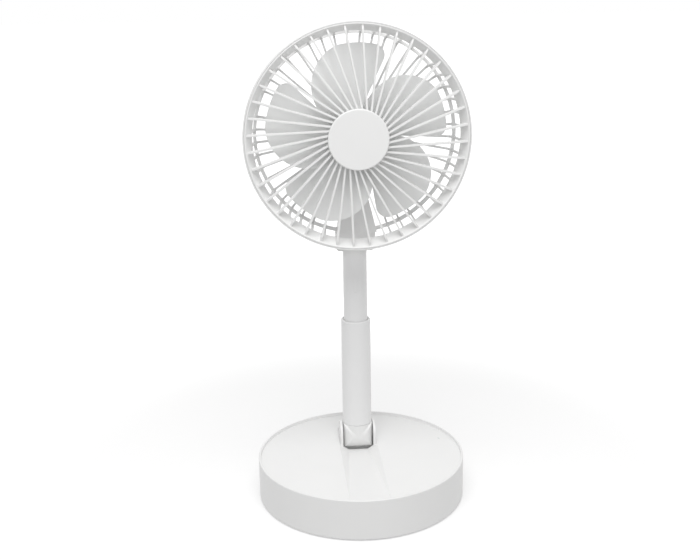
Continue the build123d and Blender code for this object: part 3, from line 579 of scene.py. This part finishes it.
# %% [markdown]
# ## Screws
# All the screws are pan heads with a crossed recess. On the real fan they are driven from below and
# from behind, so their heads show in views that the photograph doesn't have. A screw is turned up
# from one cylinder: its outer rim is bevelled to a dome, its inner face is inset and extruded in small
# steps for the thread, and a tapered bar is cut out of the head twice, a quarter turn apart.


# %% A pan-head screw
def pan_head_screw(name, shank, head, head_height, length):
    """A screw pointing up, with the underside of its head at the origin."""
    piece = cylinder(name, head, -head_height, 0)
    edit(piece)
    choose_faces(lambda middle, normal: normal.z < -0.9)
    bpy.ops.mesh.bevel(offset=head_height * 0.55, segments=4, affect="EDGES")
    choose_faces(lambda middle, normal: normal.z > 0.9)
    core = shank * 0.8
    bpy.ops.mesh.inset(thickness=head - core)
    pitch = shank * 0.55
    turns = int((length - shank) / pitch)
    for _ in range(turns):
        extend(pitch / 2, shank / core)
        extend(pitch / 2, core / shank)
    extend(length - turns * pitch, 0.25)
    done_editing()
    for angle in (0, 90):
        depth = head_height * 0.6
        low = (-head * 0.62, -head * 0.14, -head_height - depth)
        high = (head * 0.62, head * 0.14, -head_height + depth)
        bar = box_piece("recess_bar", low, high)
        edit(bar)
        choose_faces(lambda middle, normal: normal.z > 0.9)
        bpy.ops.transform.resize(value=(0.7, 0.6, 1))
        done_editing()
        bar.data.transform(Matrix.Rotation(math.radians(angle), 4, "Z"))
        cut_out(piece, bar)
    clean(piece)
    paint(piece, "screw_zinc")
    return piece


# %% The base's screws
screw_head_height = 1.2 * MM
screw_circle = 72 * MM
base_screw = pan_head_screw("base_screw", 1.5 * MM, 2.8 * MM, screw_head_height, 12 * MM)
seat_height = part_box("base_screws")[0].z + screw_head_height
for number, angle in enumerate((50, 130, -50, -130), 1):
    across = screw_circle * math.cos(math.radians(angle))
    along = screw_circle * math.sin(math.radians(angle))
    spot = Matrix.Translation((across, along, seat_height))
    turned = Matrix.Rotation(math.radians(angle * 3), 4, "Z")
    screw = copied(base_screw, f"base_screw_{number}", spot @ turned)
    fit(screw, "base", "screw_steel", "base_screws")
bpy.data.objects.remove(base_screw)
print("base screws seated at", round(seat_height, 5))

# %% The neck's screws
small_shank = 1.0 * MM
small_head = 1.9 * MM
neck_screw = pan_head_screw("neck_screw", small_shank, small_head, screw_head_height, 5.4 * MM)
low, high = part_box("neck_screws")
towards_front = Matrix.Rotation(math.radians(90), 4, "X")
for number, side in enumerate((-1, 1), 1):
    spot = Matrix.Translation(
        (side * (high.x - small_head), high.y - screw_head_height, (low.z + high.z) / 2)
    )
    turned = Matrix.Rotation(math.radians(35 * side), 4, "Y")
    screw = copied(neck_screw, f"neck_screw_{number}", spot @ turned @ towards_front)
    fit(screw, "head", "screw_steel", "neck_screws")
bpy.data.objects.remove(neck_screw)
print("neck screws between", tuple(round(v, 4) for v in low), tuple(round(v, 4) for v in high))

# %% The board's screws
board_screw_x = 61.7 * MM
board_screw_y = 14 * MM
board_screw = pan_head_screw("board_screw", small_shank, small_head, screw_head_height, 7.2 * MM)
board_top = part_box("board_screws")[1].z - screw_head_height
upside_down = Matrix.Rotation(math.radians(180), 4, "X")
for number, side in enumerate((-1, 1), 1):
    spot = Matrix.Translation((board_screw_x, side * board_screw_y, board_top))
    screw = copied(board_screw, f"board_screw_{number}", to_controls @ spot @ upside_down)
    fit(screw, "base", "screw_steel", "board_screws")
bpy.data.objects.remove(board_screw)
print("board top at", round(board_top, 5))

# %% [markdown]
# ## Rubber feet
# Four soft pads carry the fan. A real pad has a raised outer ring and a shallow middle, so that it
# grips a table. Its underside is inset twice and the middle pushed up, and the outer edge is eased.


# %% One foot, copied four times
foot_radius = 7 * MM
foot_circle = 76 * MM


def foot_pad():
    """A round pad with an eased outer edge and two rings under it."""
    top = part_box("rubber_feet")[1].z
    piece = cylinder("foot_pad", foot_radius, 0, top, vertices=56)
    edit(piece)
    choose_faces(lambda middle, normal: normal.z < -0.9)
    bpy.ops.mesh.bevel(offset=0.35 * MM, segments=3, affect="EDGES")
    choose_faces(lambda middle, normal: normal.z < -0.99 and middle.z < 0.01 * MM)
    bpy.ops.mesh.inset(thickness=1.2 * MM)
    extend(0.3 * MM, 0.94)
    bpy.ops.mesh.inset(thickness=1.4 * MM)
    extend(-0.2 * MM, 0.92)
    bpy.ops.mesh.inset(thickness=0.8 * MM)
    extend(0.2 * MM, 0.88)
    done_editing()
    clean(piece)
    paint(piece, "black_rubber")
    return piece


pad = foot_pad()
for number, (across, along) in enumerate(((1, 0), (0, 1), (-1, 0), (0, -1)), 1):
    foot = copied(pad, f"foot_{number}", Matrix.Translation((across * foot_circle, along * foot_circle, 0)))
    fit(foot, "base", "rubber", "rubber_feet")
bpy.data.objects.remove(pad)

# %% [markdown]
# ## Power button
# The button is a round cap in the base's side. Its face is slightly dished for the fingertip, with an
# eased rim. It is turned up along Z, dished by three insets that each go a little deeper, and then
# laid on its side.


# %% The dished button
button_back_x = 84.694 * MM
button_y = -12 * MM
control_height = 17.5 * MM


def dished_button():
    """A stepped cap whose face goes down in three rings."""
    radius, flange_radius = 5 * MM, 6.2 * MM
    length, flange_thickness = 5.5 * MM, 1.2 * MM
    piece = cylinder("dished_button", flange_radius, 0, flange_thickness, vertices=64)
    edit(piece)
    choose_faces(lambda middle, normal: normal.z > 0.9)
    bpy.ops.mesh.inset(thickness=flange_radius - radius)
    extend(length - flange_thickness - 0.5 * MM)
    extend(0.35 * MM, 0.97)
    extend(0.15 * MM, 0.96)
    for thickness, depth in ((0.5, 0.0), (0.7, -0.12), (0.9, -0.12), (1.0, -0.06)):
        bpy.ops.mesh.inset(thickness=thickness * MM)
        if depth:
            bpy.ops.transform.translate(value=(0, 0, depth * MM))
    done_editing()
    clean(piece, 50)
    paint(piece, "button_white")
    return piece


button = dished_button()
spot = Matrix.Translation((button_back_x, button_y, control_height))
button.data.transform(to_controls @ spot @ outward)
fit(button, "button", "button", "power_button")

# %% [markdown]
# ## Charging socket
# The socket's folded shell comes from the imported model. Its tongue carries thin gold pads on both
# faces. One pad is a box, repeated across the tongue by an array and copied once
# for the underside.

# %% Contact pads
pad = box_piece("socket_contacts", (83.2 * MM, 6.6 * MM, 17.85 * MM), (87.2 * MM, 6.95 * MM, 17.87 * MM))
apply_modifier(pad, "ARRAY", count=6, use_relative_offset=False, use_constant_offset=True,
               constant_offset_displace=(0, 0.89 * MM, 0))
under = copied(pad, "socket_contacts_under", Matrix.Translation((0, 0, -0.72 * MM)))
only(under)
pad.select_set(True)
bpy.context.view_layer.objects.active = pad
bpy.ops.object.join()
pad.data.transform(to_controls)
paint(pad, "contact_gold")
fit(pad, "base", "socket_metal")
print("contact faces", len(pad.data.polygons))

# %% [markdown]
# ## Battery cells
# Three round cells lie across the base. Each has a printed sleeve on the real object; here the sleeve
# is plain. A white ring insulates the positive end, whose button stands proud inside it, and the
# negative end is bare metal inside the shrunk edge of the sleeve.


# %% One cell, copied three times
cell_radius = 9.2 * MM
cell_half = 32.5 * MM
cell_pitch = 19.6 * MM


def from_axis(middle):
    """How far a face's middle lies from the Z axis."""
    return math.hypot(middle.x, middle.y)


def battery_cell():
    """A sleeved cell along Z, with its positive button at the top."""
    piece = cylinder("battery_cell", cell_radius, -cell_half, cell_half - 0.8 * MM, vertices=64)
    edit(piece)
    choose_faces(lambda middle, normal: abs(normal.z) > 0.9)
    bpy.ops.mesh.bevel(offset=0.7 * MM, segments=3, affect="EDGES")
    choose_faces(lambda middle, normal: normal.z > 0.99)
    bpy.ops.mesh.inset(thickness=0.9 * MM)
    extend(-0.25 * MM, 0.97)
    bpy.ops.mesh.inset(thickness=3.2 * MM)
    extend(1.05 * MM, 0.9)
    choose_faces(lambda middle, normal: normal.z < -0.99)
    bpy.ops.mesh.inset(thickness=1.3 * MM)
    extend(0.2 * MM, 0.98)
    done_editing()
    clean(piece)
    paint(piece, "cell_sleeve", "insulator_white", "can_steel")
    near_top = cell_half - 1.2 * MM
    button_top = cell_half - 1.1 * MM
    near_bottom = -cell_half + 0.3 * MM
    button, ring, bare_end = 3.8 * MM, 8.2 * MM, 7 * MM

    def on_ring(middle, normal):
        return middle.z > near_top and normal.z > 0.9 and button < from_axis(middle) < ring

    paint_faces(piece, 1, on_ring)
    paint_faces(piece, 2, lambda middle, normal: middle.z > button_top and from_axis(middle) < button)
    paint_faces(piece, 2, lambda middle, normal: middle.z < near_bottom and from_axis(middle) < bare_end)
    return piece


cell = battery_cell()
cell_low, cell_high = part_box("battery_cells")
cell_height = (cell_low.z + cell_high.z) / 2
for number in range(3):
    along = cell_low.y + cell_radius + number * cell_pitch
    way = Matrix.Rotation(math.radians(90 if number % 2 else -90), 4, "Y")
    twin = copied(cell, f"battery_cell_{number + 1}", Matrix.Translation((0, along, cell_height)) @ way)
    fit(twin, "base", "cell_wrap", "battery_cells")
bpy.data.objects.remove(cell)
print("cells at height", round(cell_height, 5))

# %% [markdown]
# ## Charging board
# A small green board carries the socket, the push switch behind the button, and the few parts that
# charge the cells. All is boxes and cylinders on the real board too, with eased edges. Each kind of
# part is modelled once. Screw holes are cut through the board, so that the screws pass.

# %% The bare board
board_low_z = 14.67 * MM
board_high_z = 15.87 * MM
board_inner_x = 57.7 * MM
board_outer_x = 83.7 * MM
board_half_width = 18 * MM
board = box_piece(
    "board_sheet",
    (board_inner_x, -board_half_width, board_low_z),
    (board_outer_x, board_half_width, board_high_z),
)
for side in (-1, 1):
    drill_top = board_high_z + MM
    hole = cylinder("hole", 1.3 * MM, board_low_z - MM, drill_top, 32, board_screw_x, side * board_screw_y)
    cut_out(board, hole)
apply_modifier(board, "BEVEL", width=0.12 * MM, segments=2, limit_method="ANGLE")
clean(board)
paint(board, "board_green")
board.data.transform(to_controls)
fit(board, "base", "board", "circuit_board")
print("board faces", len(board.data.polygons))


# %% Parts on the board
def eased_box(name, size, ease, finish):
    """A box that stands on the board at the origin, with eased edges."""
    length, width, height = (value * MM for value in size)
    piece = box_piece(name, (-length / 2, -width / 2, 0), (length / 2, width / 2, height))
    apply_modifier(piece, "BEVEL", width=ease * MM, segments=2, limit_method="ANGLE")
    clean(piece)
    paint(piece, finish)
    return piece


def on_board(piece, across, along, turn=0):
    """Puts a part on the board, in the controls' own directions."""
    spot = Matrix.Translation((across * MM, along * MM, board_high_z))
    piece.data.transform(to_controls @ spot @ Matrix.Rotation(math.radians(turn), 4, "Z"))
    fit(piece, "base", "board", "circuit_board")


def legged_chip(name, legs, size):
    """A black chip with bent legs along two sides."""
    chip = eased_box(name, size, 0.15, "chip_black")
    paint(chip, "chip_black", "screw_zinc")
    pitch = 1.27 * MM
    for side in (-1, 1):
        start = side * size[1] / 2 * MM
        low = (-pitch * (legs - 1) / 2 - 0.2 * MM, min(start, start + side * 0.9 * MM), 0)
        high = (low[0] + 0.4 * MM, max(start, start + side * 0.9 * MM), 0.5 * MM)
        leg = box_piece("leg", low, high)
        edit(leg)
        choose_faces(lambda middle, normal: normal.y * side > 0.9)
        bpy.ops.transform.resize(value=(1, 1, 0.3))
        bpy.ops.transform.translate(value=(0, 0, -0.17 * MM))
        done_editing()
        apply_modifier(leg, "ARRAY", count=legs, use_relative_offset=False, use_constant_offset=True,
                       constant_offset_displace=(pitch, 0, 0))
        paint(leg, "screw_zinc")
        only(leg)
        chip.select_set(True)
        bpy.context.view_layer.objects.active = chip
        bpy.ops.object.join()
    return chip


on_board(legged_chip("charge_chip", 4, (5.0, 3.9, 1.5)), 70.5, -3.0)
on_board(legged_chip("drive_chip", 3, (3.6, 2.6, 1.1)), 66.0, 8.6, 90)
on_board(eased_box("coil_block", (6.6, 6.2, 2.8), 0.7, "ferrite_grey"), 63.5, -7.6)
on_board(eased_box("cell_connector", (4.6, 7.8, 5.0), 0.35, "insulator_white"), 61.0, 3.0)

# %% Small capacitors, modelled once
capacitor = eased_box("capacitor", (1.6, 0.8, 0.8), 0.08, "ceramic_tan")
paint(capacitor, "ceramic_tan", "screw_zinc")
edit(capacitor)
for side in (-1, 1):
    bpy.ops.mesh.select_all(action="SELECT")
    bpy.ops.mesh.bisect(plane_co=(side * 0.45 * MM, 0, 0), plane_no=(1, 0, 0))
done_editing()
paint_faces(capacitor, 1, lambda middle, normal: abs(middle.x) > 0.46 * MM)
places = (
    (74.5, 2.6, 90),
    (76.5, 2.6, 90),
    (78.5, 2.4, 90),
    (75.5, -5.6, 0),
    (68.0, 2.6, 0),
    (72.0, 13.8, 0),
)
for number, (across, along, turn) in enumerate(places, 1):
    on_board(copied(capacitor, f"capacitor_{number}", Matrix.Identity(4)), across, along, turn)
bpy.data.objects.remove(capacitor)
print("capacitors", len(places))

# %% The push switch
switch_front = 82.793 * MM
switch_depth = 3.6 * MM
switch_size = 6 * MM
switch = box_piece(
    "push_switch",
    (switch_front - switch_depth, button_y - switch_size / 2, board_high_z),
    (switch_front, button_y + switch_size / 2, board_high_z + switch_size),
)
apply_modifier(switch, "BEVEL", width=0.3 * MM, segments=2, limit_method="ANGLE")
edit(switch)
choose_faces(lambda middle, normal: normal.x > 0.99)
bpy.ops.mesh.inset(thickness=0.7 * MM)
bpy.ops.transform.translate(value=(-0.15 * MM, 0, 0))
done_editing()
clean(switch)
paint(switch, "chip_black", "can_steel")
paint_faces(switch, 1, lambda middle, normal: normal.x > 0.7)
switch.data.transform(to_controls)
fit(switch, "base", "board", "circuit_board")

plunger = cylinder("switch_plunger", 1.5 * MM, 0, 1.2 * MM, vertices=32)
edit(plunger)
choose_faces(lambda middle, normal: normal.z > 0.9)
bpy.ops.mesh.bevel(offset=0.25 * MM, segments=3, affect="EDGES")
done_editing()
clean(plunger)
paint(plunger, "insulator_white")
spot = Matrix.Translation((switch_front - 0.2 * MM, button_y, board_high_z + switch_size / 2))
plunger.data.transform(to_controls @ spot @ outward)
fit(plunger, "base", "board", "circuit_board")
print("switch front at", round(switch_front, 5))
